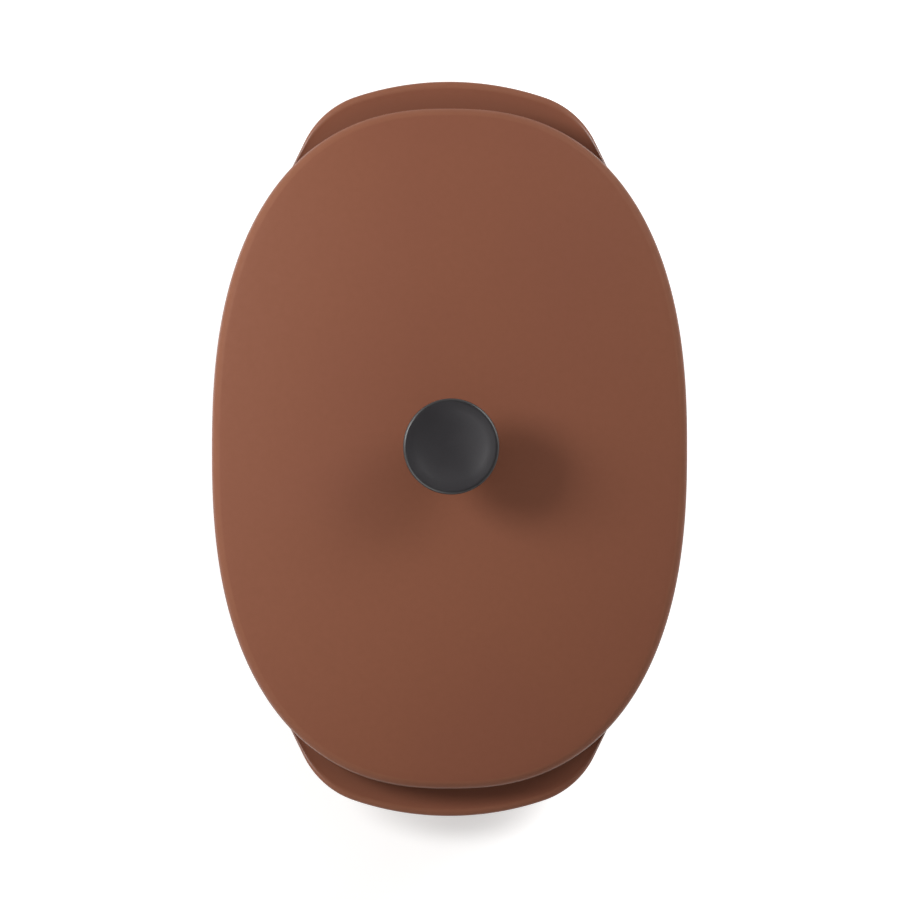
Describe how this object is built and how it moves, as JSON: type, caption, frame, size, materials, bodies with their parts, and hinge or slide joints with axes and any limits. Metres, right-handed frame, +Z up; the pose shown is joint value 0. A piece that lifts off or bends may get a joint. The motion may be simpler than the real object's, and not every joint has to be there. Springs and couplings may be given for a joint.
{
  "type": "casserole dish",
  "caption": "Oval ceramic casserole dish with wing handles and a crowned lift-off lid that carries a dished round knob.",
  "frame": {"origin": "centre of the foot ring, on the surface that the dish stands on", "axes": "+Z up through the knob, +Y along the length from handle to handle, +X across"},
  "size_m": [0.2242, 0.348, 0.1552],
  "materials": {
    "glaze": "satin",
    "knob_resin": "matte",
    "insert_brass": "satin",
    "seal_silicone": "matte",
    "screw_steel": "satin"
  },
  "bodies": {
    "dish": {"dish_body": "glaze"},
    "lid": {"lid": "glaze", "knob": "knob_resin", "knob_insert": "insert_brass", "knob_seal": "seal_silicone", "lid_seal": "seal_silicone", "screw_washer": "screw_steel", "spring_washer": "screw_steel", "knob_screw": "screw_steel"}
  },
  "joints": [
    {"name": "lid_lift", "type": "slide", "parent": "dish", "child": "lid", "axis": [0, 0, 1], "range_m": [0, 0.12]}
  ]
}
